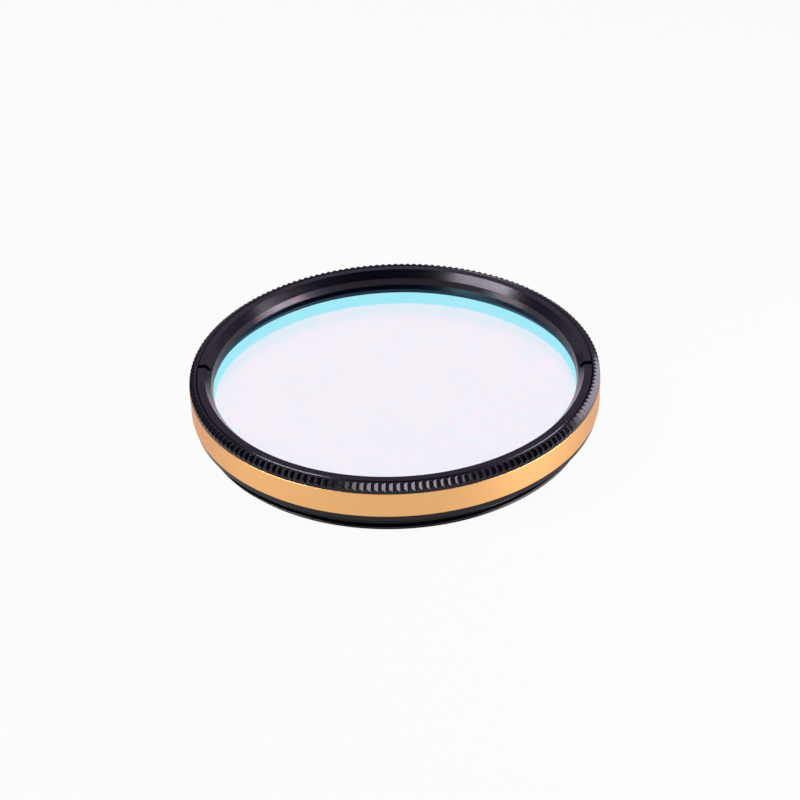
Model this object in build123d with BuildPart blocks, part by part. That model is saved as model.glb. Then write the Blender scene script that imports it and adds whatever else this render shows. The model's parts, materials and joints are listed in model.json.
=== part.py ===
from build123d import *
import math
import os

# Screw-in optical bandpass filter: a turned cell, a coated glass disc and the ring that retains it.
# The optical axis is Z. The origin is the centre of the threaded end, and the front of the filter
# faces +Z. All sizes are in millimetres.

# Threaded spigot, M48 x 0.75, drawn at the crest of its thread
thread_radius = 24.0
thread_lead_in = 0.4
spigot_length = 2.25

# Outside of the cell, each radius a step from the one before it: collar, coloured band, rim
shoulder_width = 1.05
collar_height = 0.65
band_step = 0.2
band_height = 3.3
rim_setback = 0.05
rim_height = 1.05
rim_bevel = 0.375
edge_break = 0.08

# Knurl: V-notches whose roots run at 45 degrees across the bevel of the rim. They overlap a little,
# so that the ridges between them are sharp.
notch_count = 187
notch_overlap = 0.02
notch_headroom = 0.1
notch_tip_land = 0.03

# Inside of the cell, from the rim inwards: ring thread, glass pocket, seat, bore of the spigot
rim_wall = 0.9
rim_lead_in = 0.12
pocket_step = 0.7
seat_width = 1.15
ledge_thickness = 1.0
ledge_setback = 0.55

# Glass disc
glass_thickness = 2.0
glass_edge_bevel = 0.15
glass_clearance = 0.1

# Retaining ring, drawn at the crest of its fine thread. Its bore has two slopes.
ring_thread_clearance = 0.05
ring_height = 1.8
ring_edge_chamfer = 0.1
ring_runout = 0.3
ring_face_width = 0.96
bore_break_run = 0.2
bore_break_rise = 0.84
spanner_slot_width = 0.7
spanner_slot_depth = 0.7

# Radii that follow, from the spigot out to the rim and then inwards to the clear aperture
collar_radius = thread_radius + shoulder_width
band_radius = collar_radius + band_step
rim_radius = band_radius - rim_setback
ring_bore_radius = rim_radius - rim_wall
ring_thread_radius = ring_bore_radius - ring_thread_clearance
mouth_radius = ring_thread_radius - ring_face_width
pocket_radius = ring_bore_radius - pocket_step
glass_radius = pocket_radius - glass_clearance
clear_aperture_radius = glass_radius - seat_width
spigot_bore_radius = clear_aperture_radius + ledge_setback
bore_break_radius = clear_aperture_radius + bore_break_run

# Heights that follow, above the threaded end
shoulder_z = spigot_length
band_bottom_z = shoulder_z + collar_height
band_top_z = band_bottom_z + band_height
front_z = band_top_z + rim_height
glass_front_z = front_z - ring_height
bore_break_z = glass_front_z + bore_break_rise
seat_z = glass_front_z - glass_thickness
ring_step_z = glass_front_z - ring_runout
ledge_bottom_z = seat_z - ledge_thickness

# A notch starts at its tip on the front face and leaves the rim one root run further out and lower.
notch_tip_radius = ring_bore_radius + rim_lead_in + notch_tip_land
root_run = rim_radius - notch_tip_radius
notch_depth = (root_run - rim_bevel) / math.sqrt(2)
notch_half_width = math.pi * rim_radius / notch_count + notch_overlap / 2
cutter_height = notch_depth + notch_headroom
cutter_half_width = notch_half_width * cutter_height / notch_depth
cutter_length = 2 * math.sqrt(2) * root_run

os.makedirs("parts", exist_ok=True)


# One V-notch cutter. Its profile lies square to the root line, at the middle of that line.
root_plane = Plane(
    origin=(notch_tip_radius + root_run / 2, 0, front_z - root_run / 2),
    x_dir=(0, 1, 0),
    z_dir=(1, 0, -1),
)
with BuildPart() as notch_cutter:
    with BuildSketch(root_plane):
        with BuildLine():
            Polyline(
                (0, 0),
                (cutter_half_width, cutter_height),
                (-cutter_half_width, cutter_height),
                close=True,
            )
        make_face()
    extrude(amount=cutter_length / 2, both=True)


# Cell: one turned piece, its half section revolved and its rim notched
with BuildPart() as filter_cell:
    with BuildSketch(Plane.XZ):
        with BuildLine():
            Polyline(
                (spigot_bore_radius + edge_break, 0),
                (thread_radius - thread_lead_in, 0),
                (thread_radius, thread_lead_in),
                (thread_radius, shoulder_z),
                (collar_radius - edge_break, shoulder_z),
                (collar_radius, shoulder_z + edge_break),
                (collar_radius, band_bottom_z),
                (band_radius, band_bottom_z + band_step),
                (band_radius, band_top_z),
                (rim_radius, band_top_z),
                (rim_radius, front_z - rim_bevel),
                (rim_radius - rim_bevel, front_z),
                (ring_bore_radius + rim_lead_in, front_z),
                (ring_bore_radius, front_z - rim_lead_in),
                (ring_bore_radius, ring_step_z),
                (pocket_radius, ring_step_z),
                (pocket_radius, seat_z),
                (clear_aperture_radius, seat_z),
                (clear_aperture_radius, ledge_bottom_z),
                (spigot_bore_radius, ledge_bottom_z),
                (spigot_bore_radius, edge_break),
                close=True,
            )
        make_face()
    revolve(axis=Axis.Z)
    with PolarLocations(0, notch_count):
        add(notch_cutter.part, mode=Mode.SUBTRACT)
filter_cell.part.label = "filter_cell"
export_step(filter_cell.part, "parts/filter_cell.step")


# Glass: a plane disc with fine bevels on both edges
with BuildPart() as filter_glass:
    with BuildSketch(Plane.XY.offset(seat_z)):
        Circle(glass_radius)
    extrude(amount=glass_thickness)
    chamfer(filter_glass.edges(), length=glass_edge_bevel)
filter_glass.part.label = "filter_glass"
export_step(filter_glass.part, "parts/filter_glass.step")


# Retaining ring: it bears on the glass, and two spanner slots cross its face
with BuildPart() as retaining_ring:
    with BuildSketch(Plane.XZ):
        with BuildLine():
            Polyline(
                (clear_aperture_radius, glass_front_z),
                (ring_thread_radius - ring_edge_chamfer, glass_front_z),
                (ring_thread_radius, glass_front_z + ring_edge_chamfer),
                (ring_thread_radius, front_z - ring_edge_chamfer),
                (ring_thread_radius - ring_edge_chamfer, front_z),
                (mouth_radius, front_z),
                (bore_break_radius, bore_break_z),
                close=True,
            )
        make_face()
    revolve(axis=Axis.Z)
    with BuildSketch(Plane.XY.offset(front_z - spanner_slot_depth)):
        Rectangle(3 * ring_thread_radius, spanner_slot_width)
    extrude(amount=ring_height, mode=Mode.SUBTRACT)
retaining_ring.part.label = "retaining_ring"
export_step(retaining_ring.part, "parts/retaining_ring.step")
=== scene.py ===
"""Visible pieces, finishes, studio and camera for a screw-in optical bandpass filter.

All places are in metres in the frame of the measured model: Z is the optical axis, the threaded end
stands on Z = 0 and the front of the filter faces up.
"""

import json
import math

import bpy
import numpy as np
from bpy.props import FloatProperty, FloatVectorProperty, IntProperty, PointerProperty
from mathutils import Matrix, Quaternion, Vector


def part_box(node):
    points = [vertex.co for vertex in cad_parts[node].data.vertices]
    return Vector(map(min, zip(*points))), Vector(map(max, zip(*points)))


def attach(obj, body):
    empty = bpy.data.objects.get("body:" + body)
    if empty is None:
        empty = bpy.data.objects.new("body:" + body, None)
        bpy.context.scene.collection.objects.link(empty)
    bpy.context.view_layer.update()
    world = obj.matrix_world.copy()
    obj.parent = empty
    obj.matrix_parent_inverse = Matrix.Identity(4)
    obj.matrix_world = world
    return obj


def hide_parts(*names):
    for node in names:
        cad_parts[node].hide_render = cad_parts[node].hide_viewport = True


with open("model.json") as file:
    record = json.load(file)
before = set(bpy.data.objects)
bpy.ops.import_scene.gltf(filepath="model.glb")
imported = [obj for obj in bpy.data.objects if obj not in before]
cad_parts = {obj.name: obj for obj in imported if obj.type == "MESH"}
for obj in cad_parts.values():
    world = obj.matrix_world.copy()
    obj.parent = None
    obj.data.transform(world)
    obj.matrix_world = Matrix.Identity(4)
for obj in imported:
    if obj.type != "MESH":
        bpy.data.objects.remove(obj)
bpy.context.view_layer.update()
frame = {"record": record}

bl_info = {
    "name": "Screw-in optical filter",
    "version": (1, 0, 0),
    "blender": (4, 5, 0),
    "location": "3D View > Sidebar > Filter",
    "description": "Builds the pieces, finishes and studio of a screw-in bandpass filter",
    "category": "Add Mesh",
}

MM = 0.001
BODY = "root"
CELL_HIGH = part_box("filter_cell")[1]
RING_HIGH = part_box("retaining_ring")[1]
GLASS_LOW, GLASS_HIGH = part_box("filter_glass")
MOUNTS = {mount["name"]: mount for mount in frame["record"]["mounts"]}

# What the frame settles: the radii and heights that every piece is measured from
BAND_RADIUS = CELL_HIGH.x
FRONT_Z = CELL_HIGH.z
RING_RADIUS = RING_HIGH.x
GLASS_RADIUS = GLASS_HIGH.x
GLASS_FRONT_Z = GLASS_HIGH.z
SEAT_Z = GLASS_LOW.z
THREAD_RADIUS = MOUNTS["lens_thread"]["dims"]["r_mm"] * MM
SHOULDER_Z = MOUNTS["shoulder"]["pos_m"][2]

# How finely the meshes are drawn. Corners closer than WELD metres are one, and a bend of less than
# STRAIGHT radians is none. An arc takes up at most MOST_OF_SIDE of the shorter side next to it.
WELD = 1e-8
STRAIGHT = 1e-6
MOST_OF_SIDE = 0.45
CORNER_STEPS = 4
RIDGE_STEPS = 3
THREAD_ROWS = 60
RING_COLUMNS = 100

# Lens thread, as shares of its pitch: half the crest and the run of a flank. THREAD_EASE is how
# much of a flank's straight line a smooth step replaces, which eases both of its ends.
HALF_CREST = 1 / 16
FLANK_RUN = 5 / 16
THREAD_EASE = 0.35

# Clouds in the colour of the finishes, per metre, and the full height of their turning marks
CLOUDS_PER_METRE = 420.0
MARK_HEIGHT = 0.00001

# The room that satin finishes see: its strength grows from front to back, between these two values
# of the Y part of a ray's direction
ROOM_FRONT, ROOM_BACK = -0.3, 0.7
FRONT_STRENGTH, BACK_STRENGTH = 0.02, 0.5
ROOM_TINT = (1.0, 0.86, 1.15, 1)

# Floor: half its width in metres, its grey, and the share of plain white in what each ray sees
FLOOR_HALF_WIDTH = 3.0
FLOOR_GREY = (0.4, 0.4, 0.4, 1)
WHITE_TO_CAMERA = 0.94
WHITE_TO_MIRRORS = 0.65


def length(name, description, millimetres):
    """A length property in metres with its default given in millimetres."""
    return FloatProperty(
        name=name, description=description, default=millimetres * MM, unit="LENGTH", precision=6
    )


def angle(name, description, degrees):
    """An angle property with its default given in degrees."""
    return FloatProperty(
        name=name, description=description, default=math.radians(degrees), subtype="ANGLE"
    )


def number(name, description, default):
    """A plain number property."""
    return FloatProperty(name=name, description=description, default=default)


def colour(name, description, default):
    """A linear colour property."""
    return FloatVectorProperty(
        name=name, description=description, default=default, subtype="COLOR", size=3, min=0, max=1
    )


class CellSizes(bpy.types.PropertyGroup):
    """Sizes of the turned cell that the frame's boxes and mounts don't give."""

    collar_height: length("Collar height", "Plain collar between shoulder and band", 0.65)
    band_step: length("Band step", "How far the band stands out from the collar", 0.2)
    band_height: length("Band height", "Height of the coloured band with its chamfer", 3.3)
    band_depth: length("Band depth", "Thickness of the coloured band's ring", 0.3)
    rim_setback: length("Rim setback", "How far the rim lies inside the band", 0.05)
    rim_bevel: length("Rim bevel", "Leg of the bevel that the ridges follow", 0.375)
    rim_wall: length("Rim wall", "Wall between the rim and the ring's thread", 0.9)
    rim_lead_in: length("Rim lead-in", "Chamfer at the mouth of the ring's thread", 0.12)
    notch_count: IntProperty(name="Notches", description="Notches round the rim", default=187)
    notch_overlap: length("Notch overlap", "How far neighbouring notches overlap", 0.02)
    notch_tip_land: length("Tip land", "Plain face between notch tips and lead-in", 0.03)
    ridge_radius: length("Ridge radius", "Rounding along the ridges", 0.035)
    thread_pitch: length("Thread pitch", "Pitch of the lens thread", 0.75)
    thread_lead_in: length("Thread lead-in", "Chamfer at the end of the lens thread", 0.4)
    thread_runout: length("Thread runout", "Length over which the thread fades out", 0.35)
    pocket_step: length("Pocket step", "Step from the ring's thread to the glass pocket", 0.7)
    ring_runout: length("Ring runout", "How far that step lies below the glass front", 0.3)
    glass_clearance: length("Glass clearance", "Gap round the glass in its pocket", 0.1)
    seat_width: length("Seat width", "Width of the ledge under the glass", 1.15)
    ledge_thickness: length("Ledge thickness", "Thickness of that ledge", 1.0)
    ledge_setback: length("Ledge setback", "Step from the ledge to the spigot's bore", 0.55)
    edge_radius: length("Edge radius", "Rounding of the turned edges", 0.04)


class RingSizes(bpy.types.PropertyGroup):
    """Sizes of the retaining ring that the frame doesn't give."""

    face_width: length("Face width", "Width of the flat face", 0.96)
    edge_chamfer: length("Edge chamfer", "Chamfer on the outer edges", 0.1)
    break_run: length("Break run", "Radius gained by the lower slope of the bore", 0.2)
    break_rise: length("Break rise", "Height of the lower slope of the bore", 0.84)
    slot_width: length("Slot width", "Width of the spanner slots", 0.7)
    slot_depth: length("Slot depth", "Depth of the spanner slots", 0.7)
    slot_chamfer: length("Slot chamfer", "Broken edge along the slots", 0.04)
    glass_gap: length("Glass gap", "Film between the ring and the glass", 0.004)
    edge_radius: length("Edge radius", "Rounding of the turned edges", 0.035)


class GlassFinish(bpy.types.PropertyGroup):
    """Edge of the glass and what its two coatings send back."""

    edge_bevel: length("Edge bevel", "Ground bevel on both edges", 0.15)
    index: number("Index", "Refractive index of the substrate", 1.47)
    front_reflection: colour("Front", "Reflected by the front coating", (0.34, 0.82, 0.94))
    rear_reflection: colour("Rear", "Reflected by the rear coating", (0.93, 0.62, 0.4))


class MetalFinish(bpy.types.PropertyGroup):
    """Colours and gloss of the two anodised finishes."""

    black: colour("Black", "Black anodised aluminium", (0.0012, 0.0009, 0.003))
    gold: colour("Gold", "Gold anodised aluminium", (0.97, 0.55, 0.23))
    black_roughness: number("Black roughness", "Roughness of the black finish", 0.2)
    gold_roughness: number("Gold roughness", "Roughness of the gold finish", 0.36)


class StudioSettings(bpy.types.PropertyGroup):
    """Camera of the photograph. It looks at the centre of the front face."""

    distance: length("Distance", "Camera to the centre of the front face", 240.0)
    elevation: angle("Elevation", "Camera above the floor", 32.92)
    azimuth: angle("Azimuth", "Camera turned from the -Y side towards +X", 3.0)
    roll: angle("Roll", "Camera turned clockwise about its view", 2.19)
    lens: number("Lens", "Focal length in millimetres on a 36 mm sensor", 87.83)
    shift_x: number("Shift X", "Sideways shift as a share of the width", 0.0073)
    shift_y: number("Shift Y", "Upward shift as a share of the width", -0.0444)


class Shell:
    """Quads with a normal at each corner, welded into one mesh."""

    def __init__(self):
        self.corners = []
        self.normals = []
        self.slots = []

    def add(self, corners, normals, slot=0):
        """Adds quads (n, 4, 3) with corner normals, each turned to face the way they point."""
        corners = np.asarray(corners, float)
        normals = np.broadcast_to(normals, corners.shape).reshape(-1, 4, 3)
        corners = corners.reshape(-1, 4, 3)
        faced = np.cross(corners[:, 2] - corners[:, 0], corners[:, 3] - corners[:, 1])
        turned = np.einsum("ij,ij->i", faced, normals.sum(axis=1)) < 0
        self.corners.append(np.where(turned[:, None, None], corners[:, ::-1], corners))
        self.normals.append(np.where(turned[:, None, None], normals[:, ::-1], normals))
        self.slots.append(np.full(len(corners), slot))

    def build(self, name, materials):
        """Welds corners that coincide, drops quads shrunk to an edge and makes the object."""
        corners = np.concatenate(self.corners)
        normals = np.concatenate(self.normals)
        slots = np.concatenate(self.slots)
        keys = np.round(corners.reshape(-1, 3) / WELD).astype(np.int64)
        _, first, index = np.unique(keys, axis=0, return_index=True, return_inverse=True)
        points = corners.reshape(-1, 3)[first]
        index = index.reshape(-1, 4)
        kept = index != np.roll(index, 1, axis=1)
        counts = kept.sum(axis=1)
        valid = (counts >= 3) & (index[:, 0] != index[:, 2]) & (index[:, 1] != index[:, 3])
        index, kept, normals = index[valid], kept[valid], normals[valid]
        counts, slots = counts[valid], slots[valid]

        mesh = bpy.data.meshes.new(name)
        mesh.vertices.add(len(points))
        mesh.vertices.foreach_set("co", points.ravel())
        mesh.loops.add(int(counts.sum()))
        mesh.loops.foreach_set("vertex_index", index[kept])
        mesh.polygons.add(len(counts))
        mesh.polygons.foreach_set("loop_start", np.concatenate(([0], np.cumsum(counts)[:-1])))
        mesh.polygons.foreach_set("material_index", slots)
        mesh.polygons.foreach_set("use_smooth", np.ones(len(counts), bool))
        mesh.update(calc_edges=True)
        if mesh.validate(verbose=True):
            raise RuntimeError(f"{name} has faults in its mesh")
        lengths = np.linalg.norm(normals, axis=2, keepdims=True)
        mesh.normals_split_custom_set((normals / lengths)[kept])
        for material in materials:
            mesh.materials.append(material)
        piece = bpy.data.objects.new(name, mesh)
        bpy.context.scene.collection.objects.link(piece)
        return piece


def rounded_path(corners, radii):
    """Points and outward normals of a half section in (r, z).

    Each inner corner becomes an arc tangent to its two sides. The arc starts where the side has still
    radius times the tangent of half the turn to go, and its points are the side's left normal turned
    about the arc's centre. A radius of 0 keeps the corner sharp, with a point for each side.
    """
    corners = np.asarray(corners, float)
    radii = np.broadcast_to(radii, len(corners))
    sides = np.diff(corners, axis=0)
    lengths = np.linalg.norm(sides, axis=1)
    ways = sides / lengths[:, None]
    points, tangents = [corners[:1]], [ways[:1]]
    for i in range(1, len(corners) - 1):
        before, after = ways[i - 1], ways[i]
        turn = math.atan2(before[0] * after[1] - before[1] * after[0], before @ after)
        if radii[i] == 0 or abs(turn) < STRAIGHT:
            points.append(np.repeat(corners[i : i + 1], 2, axis=0))
            tangents.append(np.array([before, after]))
            continue
        longest = MOST_OF_SIDE * min(lengths[i - 1], lengths[i])
        reach = min(radii[i] * math.tan(abs(turn) / 2), longest)
        radius = reach / math.tan(abs(turn) / 2) * math.copysign(1, turn)
        turns = np.linspace(0, turn, CORNER_STEPS + 1)
        cos, sin = np.cos(turns), np.sin(turns)
        along = np.stack((before[0] * cos - before[1] * sin, before[0] * sin + before[1] * cos), 1)
        left = np.stack((-along[:, 1], along[:, 0]), 1)
        centre = corners[i] - before * reach + radius * np.array((-before[1], before[0]))
        points.append(centre - radius * left)
        tangents.append(along)
    points.append(corners[-1:])
    tangents.append(ways[-1:])
    tangents = np.concatenate(tangents)
    return np.concatenate(points), np.stack((tangents[:, 1], -tangents[:, 0]), 1)


def closed_path(corners, radii):
    """A rounded path round a whole section, which starts and ends in the middle of its last side."""
    corners = np.asarray(corners, float)
    middle = (corners[-1:] + corners[:1]) / 2
    radii = np.concatenate(([0], np.broadcast_to(radii, len(corners)), [0]))
    return rounded_path(np.concatenate((middle, corners, middle)), radii)


def on_circle(section, angles):
    """A half section (n, 2) carried to each angle: x = r cos a, y = r sin a, z = z."""
    r, z = section[:, 0, None], section[:, 1, None]
    return np.stack((r * np.cos(angles), r * np.sin(angles), z + 0 * angles), axis=2)


def quads(grid):
    """The quads (n, 4, 3) between neighbouring rows and columns of a grid (rows, columns, 3)."""
    parts = (grid[:-1, :-1], grid[:-1, 1:], grid[1:, 1:], grid[1:, :-1])
    return np.stack([part.reshape(-1, 3) for part in parts], axis=1)


def full_circle(count):
    """Angles of count equal steps round the circle, with the first one again at the end."""
    return np.concatenate((np.arange(count), [0])) * (2 * math.pi / count)


def add_lathed(shell, path, count):
    """Adds the surface of revolution of a path from rounded_path."""
    angles = full_circle(count)
    shell.add(quads(on_circle(path[0], angles)), quads(on_circle(path[1], angles)))


def turned_copies(vectors, count):
    """Vectors (n, 4, 3) turned to count equal steps about Z."""
    a = np.arange(count) * (2 * math.pi / count)
    zero, one = np.zeros(count), np.ones(count)
    turns = np.array([[np.cos(a), -np.sin(a), zero], [np.sin(a), np.cos(a), zero], [zero, zero, one]])
    return np.einsum("ijk,nmj->knmi", turns, vectors).reshape(-1, 4, 3)


def add_notched_bevel(shell, sizes, rim_radius, inner_radius, tip_radius, low_z):
    """Adds the rim's front: V-notches across its bevel, with a rounded ridge between neighbours.

    A notch's root runs at 45 degrees from its tip on the front face to the rim's outer wall. Its
    flanks rise from the root by depth for each half width sideways, and two neighbours meet in a
    ridge on the plane halfway between them. The ridge is rounded by an arc tangent to both flanks.
    One half notch is worked out, mirrored and turned to every place.
    """
    half_step = math.pi / sizes.notch_count
    root_run = rim_radius - tip_radius
    depth = (root_run - sizes.rim_bevel) / math.sqrt(2)
    half_width = half_step * rim_radius + sizes.notch_overlap / 2
    rise = depth / half_width
    cos, sin = math.cos(half_step), math.sin(half_step)
    tip = np.array((tip_radius, 0, FRONT_Z))
    foot = np.array((rim_radius, 0, FRONT_Z - root_run))
    flank = np.array((math.sqrt(0.5), -rise, math.sqrt(0.5)))
    flank /= np.linalg.norm(flank)

    slope = math.sqrt(2) * sin * rise - cos
    ridge_start = np.array((0, 0, FRONT_Z + tip_radius))
    along = np.array((cos, sin, slope))
    out = np.array((-slope * cos, -slope * sin, 1)) / math.hypot(slope, 1)
    side = np.array((sin, -cos, 0))
    lean = math.acos(flank @ out)
    leans = np.linspace(lean, 0, RIDGE_STEPS + 1)[:, None]
    bows = np.cos(leans) * out + np.sin(leans) * side
    lines = ridge_start + sizes.ridge_radius * (bows - out / math.cos(lean))

    at_top = (FRONT_Z - lines[:, 2]) / slope
    top = lines + at_top[:, None] * along
    flat = (lines[:, :2] * along[:2]).sum(axis=1)
    short = (lines[:, :2] ** 2).sum(axis=1) - rim_radius**2
    at_rim = -flat + np.sqrt(flat**2 - short)
    low = lines + at_rim[:, None] * along

    inner = np.array([(inner_radius, 0, FRONT_Z), (inner_radius * cos, inner_radius * sin, FRONT_Z)])
    base = np.array([(rim_radius, 0, low_z), (rim_radius * cos, rim_radius * sin, low_z)])
    many = np.ones((RIDGE_STEPS, 1))
    front_fan = np.stack((inner[1] * many, top[:-1], top[1:], inner[1] * many), axis=1)
    wall_fan = np.stack((base[1] * many, low[:-1], low[1:], base[1] * many), axis=1)
    wall = np.concatenate((np.array([(foot, base[0], base[1], low[0])]), wall_fan))
    outwards = wall * (1, 1, 0) / rim_radius
    corners = np.concatenate(
        (
            np.array([(tip, foot, low[0], top[0])]),
            np.stack((top[:-1], low[:-1], low[1:], top[1:]), axis=1),
            np.array([(inner[0], tip, top[0], inner[1])]),
            front_fan,
            wall,
        )
    )
    normals = np.concatenate(
        (
            np.broadcast_to(flank, (1, 4, 3)),
            np.stack((bows[:-1], bows[:-1], bows[1:], bows[1:]), axis=1),
            np.broadcast_to((0.0, 0.0, 1.0), (1 + RIDGE_STEPS, 4, 3)),
            outwards,
        )
    )
    for mirror in ((1, 1, 1), (1, -1, 1)):
        shell.add(
            turned_copies(corners * mirror, sizes.notch_count),
            turned_copies(normals * mirror, sizes.notch_count),
        )


def add_lens_thread(shell, sizes, count):
    """Adds the outside of the spigot with its right-hand 60 degree thread.

    The crest is an eighth of the pitch wide and the root a quarter. Between them the radius falls
    along a flank five sixteenths of the pitch long, and the depth is that run times the root of
    three. The end chamfer cuts the thread below, and its depth fades to nothing at the shoulder.
    """
    pitch = sizes.thread_pitch
    z = np.linspace(0, SHOULDER_Z, THREAD_ROWS)[:, None]
    angles = full_circle(count)[None, :]
    place = z / pitch - angles / (2 * math.pi)
    from_crest = np.abs((place + 0.5) % 1 - 0.5)
    full_depth = FLANK_RUN * pitch * math.sqrt(3)
    fall = np.clip((from_crest - HALF_CREST) / FLANK_RUN, 0, 1)
    fall = fall * fall * (3 - 2 * fall) * THREAD_EASE + fall * (1 - THREAD_EASE)
    fade = np.clip((SHOULDER_Z - z) / sizes.thread_runout, 0, 1)
    radius = THREAD_RADIUS - full_depth * fall * fade
    radius = np.minimum(radius, THREAD_RADIUS - sizes.thread_lead_in + z)
    radius[0] = THREAD_RADIUS - sizes.thread_lead_in

    step = angles[0, 1]
    around = (np.roll(radius[:, :-1], -1, axis=1) - np.roll(radius[:, :-1], 1, axis=1)) / (2 * step)
    around = np.concatenate((around, around[:, :1]), axis=1) / radius
    up = np.gradient(radius, z[1, 0], axis=0)
    cos, sin = np.cos(angles), np.sin(angles)
    grid = np.stack((radius * cos, radius * sin, z + 0 * radius), axis=2)
    normals = np.stack((cos + around * sin, sin - around * cos, -up), axis=2)
    shell.add(quads(grid), quads(normals))


def make_cell(context):
    """The black turned cell, closed all round, with a shallow seat for the coloured band."""
    sizes = context.scene.filter_cell
    metal = context.scene.filter_metal
    columns = 2 * sizes.notch_count
    fine, soft = sizes.edge_radius / 2, sizes.edge_radius
    collar = BAND_RADIUS - sizes.band_step
    rim = BAND_RADIUS - sizes.rim_setback
    seat_of_band = BAND_RADIUS - sizes.band_depth
    band_bottom = SHOULDER_Z + sizes.collar_height
    band_top = band_bottom + sizes.band_height
    ring_bore = rim - sizes.rim_wall
    mouth = ring_bore + sizes.rim_lead_in
    step_z = GLASS_FRONT_Z - sizes.ring_runout
    pocket = ring_bore - sizes.pocket_step
    aperture = pocket - sizes.glass_clearance - sizes.seat_width
    spigot_bore = aperture + sizes.ledge_setback
    ledge_z = SEAT_Z - sizes.ledge_thickness
    low_z = band_top + 2 * fine

    shell = Shell()
    add_lens_thread(shell, sizes, columns)
    outside = [
        (THREAD_RADIUS, SHOULDER_Z),
        (collar, SHOULDER_Z),
        (collar, band_bottom),
        (seat_of_band, band_bottom),
        (seat_of_band, band_top),
        (rim, band_top),
        (rim, low_z),
    ]
    add_lathed(shell, rounded_path(outside, [0, soft, fine, 0, 0, fine, 0]), columns)
    add_notched_bevel(shell, sizes, rim, mouth, mouth + sizes.notch_tip_land, low_z)
    inside = [
        (mouth, FRONT_Z),
        (ring_bore, FRONT_Z - sizes.rim_lead_in),
        (ring_bore, step_z),
        (pocket, step_z),
        (pocket, SEAT_Z),
        (aperture, SEAT_Z),
        (aperture, ledge_z),
        (spigot_bore, ledge_z),
        (spigot_bore, 0),
        (THREAD_RADIUS - sizes.thread_lead_in, 0),
    ]
    add_lathed(shell, rounded_path(inside, [0, fine, 0, fine, 0, soft, soft, 0, soft, 0]), columns)
    piece = shell.build("cell_body", [black_anodised(metal)])
    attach(piece, BODY)
    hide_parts("filter_cell")


def make_band(context):
    """The gold anodised band: a ring with a chamfer below, in the seat that the cell keeps for it."""
    sizes = context.scene.filter_cell
    inner = BAND_RADIUS - sizes.band_depth
    bottom = SHOULDER_Z + sizes.collar_height
    top = bottom + sizes.band_height
    section = [
        (inner, bottom),
        (BAND_RADIUS - sizes.band_step, bottom),
        (BAND_RADIUS, bottom + sizes.band_step),
        (BAND_RADIUS, top),
        (inner, top),
    ]
    soft = sizes.edge_radius
    shell = Shell()
    add_lathed(shell, closed_path(section, [0, soft / 2, soft, soft, 0]), 2 * sizes.notch_count)
    piece = shell.build("gold_band", [gold_anodised(context.scene.filter_metal)])
    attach(piece, BODY)
    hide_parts("filter_cell")


def make_ring(context):
    """The retaining ring: a lathed section whose columns near the slots follow straight lines.

    A quarter is worked out, from the middle of a slot to the Y axis, and then mirrored. A column
    beside a slot keeps its distance y from the slot's middle plane, so x is the root of r squared
    less y squared. Inside the slot the section is cut off at the slot's floor. The round columns
    start at twice the angle that the slot and its chamfer take up at the clear aperture.
    """
    sizes = context.scene.filter_ring
    floor = FRONT_Z - sizes.slot_depth
    edge = FRONT_Z - sizes.slot_chamfer
    base = GLASS_FRONT_Z + sizes.glass_gap
    clear = RING_RADIUS - sizes.face_width
    break_z = GLASS_FRONT_Z + sizes.break_rise
    aperture = aperture_radius(context)
    brk = aperture + sizes.break_run
    share = (floor - break_z) / (FRONT_Z - break_z)
    shoulder = RING_RADIUS - sizes.edge_chamfer
    section = [
        (RING_RADIUS, base + sizes.edge_chamfer),
        (RING_RADIUS, floor),
        (RING_RADIUS, FRONT_Z - sizes.edge_chamfer),
        (shoulder, FRONT_Z),
        (clear, FRONT_Z),
        (brk + share * (clear - brk), floor),
        (brk, break_z),
        (aperture, base),
        (shoulder, base),
    ]
    soft = sizes.edge_radius
    points, normals = closed_path(section, [soft, 0, soft, soft, soft, 0, soft, soft, soft])
    half = sizes.slot_width / 2
    sides = np.array((0, half, half, half + sizes.slot_chamfer))
    tops = np.array((floor, floor, edge, FRONT_Z))
    first = 2 * (half + sizes.slot_chamfer) / aperture
    angles = np.linspace(first, math.pi / 2, RING_COLUMNS)

    r, z = points[:, 0, None], points[:, 1, None]
    near = np.stack((np.sqrt(r**2 - sides**2), sides + 0 * r, np.minimum(z, tops)), axis=2)
    far = on_circle(points, angles)
    grid = np.concatenate((near, far), axis=1)
    outwards = normals[:, 0, None, None] * grid * (1, 1, 0) / r[:, :, None]
    lathed = outwards + normals[:, 1, None, None] * (0, 0, 1)

    corners = quads(grid).reshape(len(points) - 1, -1, 4, 3)
    leans = quads(lathed).reshape(corners.shape).copy()
    high = np.maximum(points[:-1, 1], points[1:, 1])
    leans[high > floor + WELD, 0] = (0, 0, 1)
    leans[high > floor + WELD, 1] = (0, -1, 0)
    leans[high > edge + WELD, 2] = (0, -1, 1)
    shell = Shell()
    for mirror in ((1, 1, 1), (-1, 1, 1), (1, -1, 1), (-1, -1, 1)):
        shell.add(corners * mirror, leans * mirror)
    piece = shell.build("ring_body", [black_anodised(context.scene.filter_metal)])
    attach(piece, BODY)
    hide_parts("retaining_ring")


def aperture_radius(context):
    """Radius of the clear aperture: the glass less the width of its seat."""
    return GLASS_RADIUS - context.scene.filter_cell.seat_width


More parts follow.
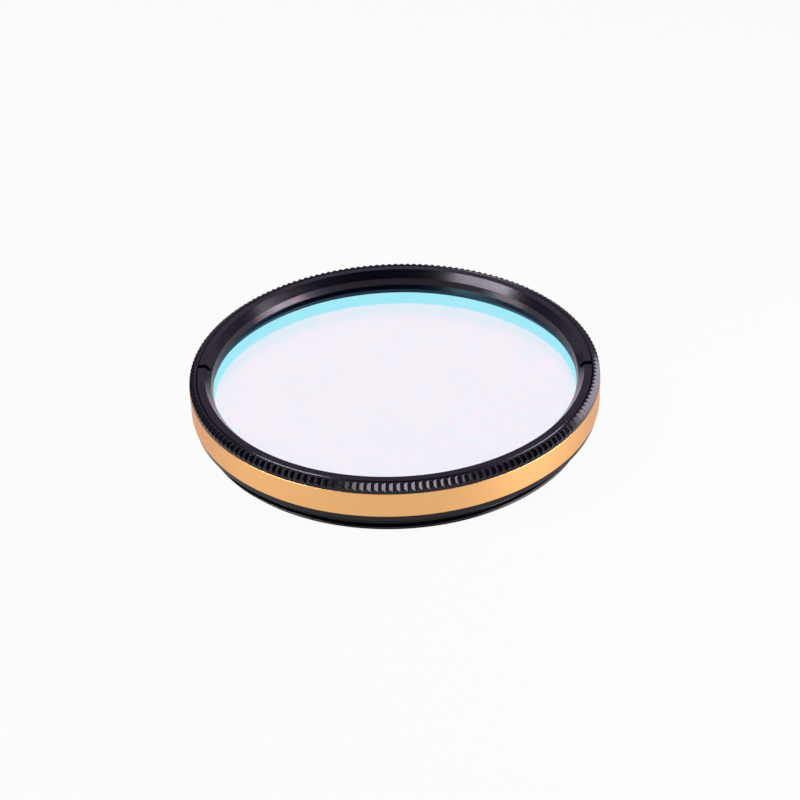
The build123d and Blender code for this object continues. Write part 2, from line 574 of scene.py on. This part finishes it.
def make_glass(context):
    """The glass disc: two flat coated faces, a blackened wall and ground bevels between them."""
    finish = context.scene.filter_glass
    bevel = finish.edge_bevel
    count = 2 * context.scene.filter_cell.notch_count
    angles = full_circle(count)
    rim = GLASS_RADIUS - bevel
    shell = Shell()
    for z, way, slot in ((GLASS_FRONT_Z, 1.0, 0), (SEAT_Z, -1.0, 1)):
        disc = on_circle(np.array(((0.0, z), (rim, z))), angles)
        shell.add(quads(disc), (0.0, 0.0, way), slot)
    wall = [
        (rim, SEAT_Z),
        (GLASS_RADIUS, SEAT_Z + bevel),
        (GLASS_RADIUS, GLASS_FRONT_Z - bevel),
        (rim, GLASS_FRONT_Z),
    ]
    points, normals = rounded_path(wall, 0)
    shell.add(quads(on_circle(points, angles)), quads(on_circle(normals, angles)), 2)
    materials = [
        coated_face("front_coating", finish.front_reflection, finish.index),
        coated_face("rear_coating", finish.rear_reflection, finish.index),
        blackened_edge(),
    ]
    piece = shell.build("glass_disc", materials)
    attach(piece, BODY)
    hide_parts("filter_glass")


def new_material(name):
    """An empty node material and a function that adds a node to it with its socket values set."""
    material = bpy.data.materials.new(name)
    material.use_nodes = True
    material.node_tree.nodes.clear()
    return material, node_maker(material.node_tree)


def node_maker(tree):
    """A function that adds a node of a kind, sets its properties and values and links its inputs."""

    def make(kind, links=None, values=None, **properties):
        node = tree.nodes.new(kind)
        for key, value in properties.items():
            setattr(node, key, value)
        for key, value in (values or {}).items():
            node.inputs[key].default_value = value
        for key, socket in (links or {}).items():
            tree.links.new(socket, node.inputs[key])
        return node

    return make


def turned_marks_group():
    """Node group for fine turning marks: noise read at (radius, height), so that it runs round Z.

    It puts out the marks' height and a slow cloudy variation, both from 0 to 1.
    """
    found = bpy.data.node_groups.get("turned_marks")
    if found:
        return found
    group = bpy.data.node_groups.new("turned_marks", "ShaderNodeTree")
    face = group.interface
    face.new_socket("Vector", in_out="INPUT", socket_type="NodeSocketVector")
    face.new_socket("Marks per metre", in_out="INPUT", socket_type="NodeSocketFloat")
    face.new_socket("Clouds per metre", in_out="INPUT", socket_type="NodeSocketFloat")
    face.new_socket("Marks", in_out="OUTPUT", socket_type="NodeSocketFloat")
    face.new_socket("Clouds", in_out="OUTPUT", socket_type="NodeSocketFloat")
    make = node_maker(group)
    given = make("NodeGroupInput")
    parts = make("ShaderNodeSeparateXYZ", {0: given.outputs["Vector"]})
    square = make("ShaderNodeMath", {0: parts.outputs[0], 1: parts.outputs[0]}, operation="MULTIPLY")
    both = make(
        "ShaderNodeMath",
        {0: parts.outputs[1], 1: parts.outputs[1], 2: square.outputs[0]},
        operation="MULTIPLY_ADD",
    )
    radius = make("ShaderNodeMath", {0: both.outputs[0]}, operation="SQRT")
    place = make("ShaderNodeCombineXYZ", {0: radius.outputs[0], 1: parts.outputs[2]})
    scaled = make(
        "ShaderNodeVectorMath",
        {0: place.outputs[0], "Scale": given.outputs["Marks per metre"]},
        operation="SCALE",
    )
    marks = make(
        "ShaderNodeTexNoise",
        {"Vector": scaled.outputs[0]},
        {"Scale": 1.0, "Detail": 3.0, "Roughness": 0.6},
        noise_dimensions="2D",
    )
    spread = make(
        "ShaderNodeVectorMath",
        {0: given.outputs["Vector"], "Scale": given.outputs["Clouds per metre"]},
        operation="SCALE",
    )
    clouds = make(
        "ShaderNodeTexNoise", {"Vector": spread.outputs[0]}, {"Scale": 1.0, "Detail": 4.0}
    )
    made = make("NodeGroupOutput")
    group.links.new(marks.outputs[0], made.inputs["Marks"])
    group.links.new(clouds.outputs[0], made.inputs["Clouds"])
    return group


def anodised(name, tint, shade, roughness, rough_swing, bump, marks_per_metre, values):
    """An anodised finish: cloudy colour between tint and shade, with turning marks.

    The marks swing the roughness about its mean and stand up in the bump.
    """
    material, make = new_material(name)
    place = make("ShaderNodeTexCoord")
    marks = make(
        "ShaderNodeGroup",
        {"Vector": place.outputs["Object"]},
        {"Marks per metre": marks_per_metre, "Clouds per metre": CLOUDS_PER_METRE},
        node_tree=turned_marks_group(),
    )
    blend = make(
        "ShaderNodeMix",
        {"Factor": marks.outputs["Clouds"]},
        {6: (*tint, 1), 7: (*shade, 1)},
        data_type="RGBA",
    )
    rough = make(
        "ShaderNodeMapRange",
        {"Value": marks.outputs["Marks"]},
        {
            "From Min": 0.3,
            "From Max": 0.7,
            "To Min": roughness - rough_swing,
            "To Max": roughness + rough_swing,
        },
    )
    relief = make(
        "ShaderNodeBump",
        {"Height": marks.outputs["Marks"]},
        {"Strength": bump, "Distance": MARK_HEIGHT},
    )
    surface = make(
        "ShaderNodeBsdfPrincipled",
        {
            "Base Color": blend.outputs[2],
            "Roughness": rough.outputs[0],
            "Normal": relief.outputs[0],
        },
        values,
    )
    if "Anisotropic" in values:
        around = make("ShaderNodeTangent", direction_type="RADIAL", axis="Z")
        material.node_tree.links.new(around.outputs[0], surface.inputs["Tangent"])
    make("ShaderNodeOutputMaterial", {"Surface": surface.outputs[0]})
    return material


def black_anodised(metal):
    """Satin black anodised aluminium with a faint violet cast, made once for the cell and the ring.

    It isn't called black_anodised, because the frame brings in a plain material by that name.
    """
    found = bpy.data.materials.get("satin_black")
    if found:
        return found
    tint = np.array(metal.black)
    values = {
        "Metallic": 0.0,
        "IOR": 1.5,
        "Specular IOR Level": 0.38,
        "Specular Tint": (0.95, 0.86, 1.0, 1),
    }
    return anodised(
        "satin_black",
        tint=tint * 0.8,
        shade=tint * 1.25,
        roughness=metal.black_roughness,
        rough_swing=0.03,
        bump=0.06,
        marks_per_metre=16000.0,
        values=values,
    )


def gold_anodised(metal):
    """Gold anodised aluminium, fine turned."""
    tint = np.array(metal.gold)
    values = {
        "Metallic": 1.0,
        "Specular Tint": (0.85, 0.72, 0.78, 1),
        "Anisotropic": 0.6,
        "Anisotropic Rotation": 0.25,
    }
    return anodised(
        "gold_anodised",
        tint=tint,
        shade=tint * (0.98, 0.94, 0.88),
        roughness=metal.gold_roughness,
        rough_swing=0.05,
        bump=0.2,
        marks_per_metre=12000.0,
        values=values,
    )


def coated_face(name, reflection, index):
    """One coated face of the glass: what it doesn't send back, 1 less each channel, is refracted."""
    material, make = new_material(name)
    mirror = make(
        "ShaderNodeBsdfPrincipled",
        values={"Base Color": (*reflection, 1), "Metallic": 1.0, "Roughness": 0.0},
    )
    through = make(
        "ShaderNodeBsdfRefraction",
        values={"Color": (*(1 - c for c in reflection), 1), "Roughness": 0.0, "IOR": index},
    )
    both = make("ShaderNodeAddShader", {0: mirror.outputs[0], 1: through.outputs[0]})
    make("ShaderNodeOutputMaterial", {"Surface": both.outputs[0]})
    return material


def blackened_edge():
    """The ground wall of the glass, blackened against stray light."""
    material, make = new_material("blackened_edge")
    place = make("ShaderNodeTexCoord")
    grain = make(
        "ShaderNodeTexNoise", {"Vector": place.outputs["Object"]}, {"Scale": 9000.0, "Detail": 2.0}
    )
    rough = make(
        "ShaderNodeMapRange", {"Value": grain.outputs[0]}, {"To Min": 0.6, "To Max": 0.9}
    )
    surface = make(
        "ShaderNodeBsdfPrincipled",
        {"Roughness": rough.outputs[0]},
        {"Base Color": (0.01, 0.01, 0.012, 1)},
    )
    make("ShaderNodeOutputMaterial", {"Surface": surface.outputs[0]})
    return material


def direction(azimuth, elevation):
    """Unit vector at an azimuth from +X towards +Y and an elevation, both in degrees."""
    a, e = math.radians(azimuth), math.radians(elevation)
    return Vector((math.cos(a) * math.cos(e), math.sin(a) * math.cos(e), math.sin(e)))


def make_camera(studio):
    """The photograph's camera, aimed at the centre of the front face and turned by its roll."""
    target = Vector((0, 0, FRONT_Z))
    away = direction(math.degrees(studio.azimuth) - 90, math.degrees(studio.elevation))
    right = Vector((0, 0, 1)).cross(away).normalized()
    up = away.cross(right)
    cos, sin = math.cos(studio.roll), math.sin(studio.roll)
    axes = (right * cos - up * sin, right * sin + up * cos, away)
    data = bpy.data.cameras.new("photo_camera")
    data.lens = studio.lens
    data.sensor_width = 36.0
    data.shift_x = studio.shift_x
    data.shift_y = studio.shift_y
    data.clip_start = 0.01
    data.clip_end = 20.0
    camera = bpy.data.objects.new("photo_camera", data)
    place = Matrix.Translation(target + away * studio.distance)
    camera.matrix_world = place @ Matrix(axes).transposed().to_4x4()
    bpy.context.scene.collection.objects.link(camera)
    bpy.context.scene.camera = camera


def softbox(name, azimuth, elevation, width, height, radiance, distance, tilt=0.0):
    """A rectangular lamp that faces the frame's origin, its sides tilted by an angle in degrees.

    Its power is radiance times pi times its area.
    """
    data = bpy.data.lights.new(name, "AREA")
    data.shape = "RECTANGLE"
    data.size = width
    data.size_y = height
    data.energy = radiance * math.pi * width * height
    lamp = bpy.data.objects.new(name, data)
    away = direction(azimuth, elevation)
    lamp.location = away * distance
    lamp.rotation_mode = "QUATERNION"
    turn = Quaternion((0, 0, 1), math.radians(tilt))
    lamp.rotation_quaternion = away.to_track_quat("Z", "Y") @ turn
    bpy.context.scene.collection.objects.link(lamp)


def make_world():
    """White to the camera and to sharp rays. Satin finishes see a dim room, darkest in front."""
    world = bpy.data.worlds.new("studio")
    bpy.context.scene.world = world
    world.use_nodes = True
    tree = world.node_tree
    tree.nodes.clear()
    make = node_maker(tree)
    place = make("ShaderNodeTexCoord")
    parts = make("ShaderNodeSeparateXYZ", {0: place.outputs["Generated"]})
    behind = make(
        "ShaderNodeMapRange",
        {"Value": parts.outputs[1]},
        {
            "From Min": ROOM_FRONT,
            "From Max": ROOM_BACK,
            "To Min": FRONT_STRENGTH,
            "To Max": BACK_STRENGTH,
        },
        interpolation_type="SMOOTHSTEP",
    )
    path = make("ShaderNodeLightPath")
    clear = make(
        "ShaderNodeMath",
        {0: path.outputs["Is Camera Ray"], 1: path.outputs["Is Singular Ray"]},
        operation="MAXIMUM",
    )
    strength = make(
        "ShaderNodeMix",
        {"Factor": clear.outputs[0], "A": behind.outputs[0]},
        {"B": 1.0},
        data_type="FLOAT",
    )
    tint = make(
        "ShaderNodeMix",
        {"Factor": clear.outputs[0]},
        {6: ROOM_TINT, 7: (1, 1, 1, 1)},
        data_type="RGBA",
    )
    light = make(
        "ShaderNodeBackground", {"Strength": strength.outputs[0], "Color": tint.outputs[2]}
    )
    make("ShaderNodeOutputWorld", {"Surface": light.outputs[0]})


def make_floor():
    """A matt grey floor mixed with plain white, so that a little of the filter's shadow is kept.

    The camera sees the most white. Glossy rays see less of it. Diffuse rays and rays that the glass
    lets through see none.
    """
    square = np.array(((-1, -1, 0), (1, -1, 0), (1, 1, 0), (-1, 1, 0)), float)
    shell = Shell()
    shell.add(square * FLOOR_HALF_WIDTH, (0.0, 0.0, 1.0))
    material, make = new_material("white_floor")
    matt = make("ShaderNodeBsdfDiffuse", values={"Color": FLOOR_GREY})
    plain = make("ShaderNodeEmission", values={"Strength": 1.0})
    path = make("ShaderNodeLightPath")
    sent_back = make(
        "ShaderNodeMath",
        {0: path.outputs["Is Glossy Ray"], 1: path.outputs["Is Transmission Ray"]},
        operation="SUBTRACT",
        use_clamp=True,
    )
    mirrored = make(
        "ShaderNodeMath", {0: sent_back.outputs[0]}, {1: WHITE_TO_MIRRORS}, operation="MULTIPLY"
    )
    share = make(
        "ShaderNodeMath",
        {0: path.outputs["Is Camera Ray"], 2: mirrored.outputs[0]},
        {1: WHITE_TO_CAMERA},
        operation="MULTIPLY_ADD",
    )
    mixed = make(
        "ShaderNodeMixShader", {0: share.outputs[0], 1: matt.outputs[0], 2: plain.outputs[0]}
    )
    make("ShaderNodeOutputMaterial", {"Surface": mixed.outputs[0]})
    shell.build("studio_floor", [material])


# Lamps: directions in degrees, radiance in watts per square metre and steradian, sizes in metres
LAMPS = {
    "right_softbox": dict(
        azimuth=343, elevation=25, width=0.12, height=0.055, radiance=10.5, distance=0.14
    ),
    "right_low": dict(
        azimuth=342, elevation=10, width=0.12, height=0.04, radiance=12.0, distance=0.28
    ),
    "left_strip": dict(
        azimuth=204, elevation=46, width=0.16, height=0.045, radiance=40.0, distance=0.3, tilt=25
    ),
    "left_low": dict(
        azimuth=197, elevation=9, width=0.12, height=0.04, radiance=6.0, distance=0.28
    ),
}


def make_studio(context):
    """Camera, lamps, floor and surroundings."""
    make_camera(context.scene.filter_studio)
    for name, places in LAMPS.items():
        softbox(name, **places)
    make_world()
    make_floor()
    bpy.context.scene.view_settings.view_transform = "Standard"


class FILTER_OT_cell(bpy.types.Operator):
    """Build the black turned cell with its notched rim and lens thread"""

    bl_idname = "filter.make_cell"
    bl_label = "Cell"

    def execute(self, context):
        make_cell(context)
        return {"FINISHED"}


class FILTER_OT_band(bpy.types.Operator):
    """Build the gold band"""

    bl_idname = "filter.make_band"
    bl_label = "Gold band"

    def execute(self, context):
        make_band(context)
        return {"FINISHED"}


class FILTER_OT_ring(bpy.types.Operator):
    """Build the retaining ring with its spanner slots"""

    bl_idname = "filter.make_ring"
    bl_label = "Retaining ring"

    def execute(self, context):
        make_ring(context)
        return {"FINISHED"}


class FILTER_OT_glass(bpy.types.Operator):
    """Build the coated glass disc"""

    bl_idname = "filter.make_glass"
    bl_label = "Glass"

    def execute(self, context):
        make_glass(context)
        return {"FINISHED"}


class FILTER_OT_studio(bpy.types.Operator):
    """Set up the camera, lamps, floor and surroundings"""

    bl_idname = "filter.make_studio"
    bl_label = "Studio"

    def execute(self, context):
        make_studio(context)
        return {"FINISHED"}


OPERATORS = (FILTER_OT_cell, FILTER_OT_band, FILTER_OT_ring, FILTER_OT_glass, FILTER_OT_studio)


class FILTER_PT_panel(bpy.types.Panel):
    """Lists the pieces and the sizes that can be changed"""

    bl_label = "Optical filter"
    bl_space_type = "VIEW_3D"
    bl_region_type = "UI"
    bl_category = "Filter"

    def draw(self, context):
        for operator in OPERATORS:
            self.layout.operator(operator.bl_idname)
        for name in SETTINGS:
            group = getattr(context.scene, name)
            box = self.layout.box()
            for prop in group.bl_rna.properties:
                if prop.identifier not in ("rna_type", "name"):
                    box.prop(group, prop.identifier)


SETTINGS = {
    "filter_cell": CellSizes,
    "filter_ring": RingSizes,
    "filter_glass": GlassFinish,
    "filter_metal": MetalFinish,
    "filter_studio": StudioSettings,
}


def register():
    for cls in (*SETTINGS.values(), *OPERATORS, FILTER_PT_panel):
        bpy.utils.register_class(cls)
    for name, cls in SETTINGS.items():
        setattr(bpy.types.Scene, name, PointerProperty(type=cls))


def unregister():
    for name in SETTINGS:
        delattr(bpy.types.Scene, name)
    for cls in (FILTER_PT_panel, *reversed(OPERATORS), *reversed(SETTINGS.values())):
        bpy.utils.unregister_class(cls)


def main():
    """Registers the classes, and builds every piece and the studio."""
    register()
    bpy.ops.filter.make_cell()
    bpy.ops.filter.make_band()
    bpy.ops.filter.make_ring()
    bpy.ops.filter.make_glass()
    bpy.ops.filter.make_studio()


if __name__ == "__main__":
    main()
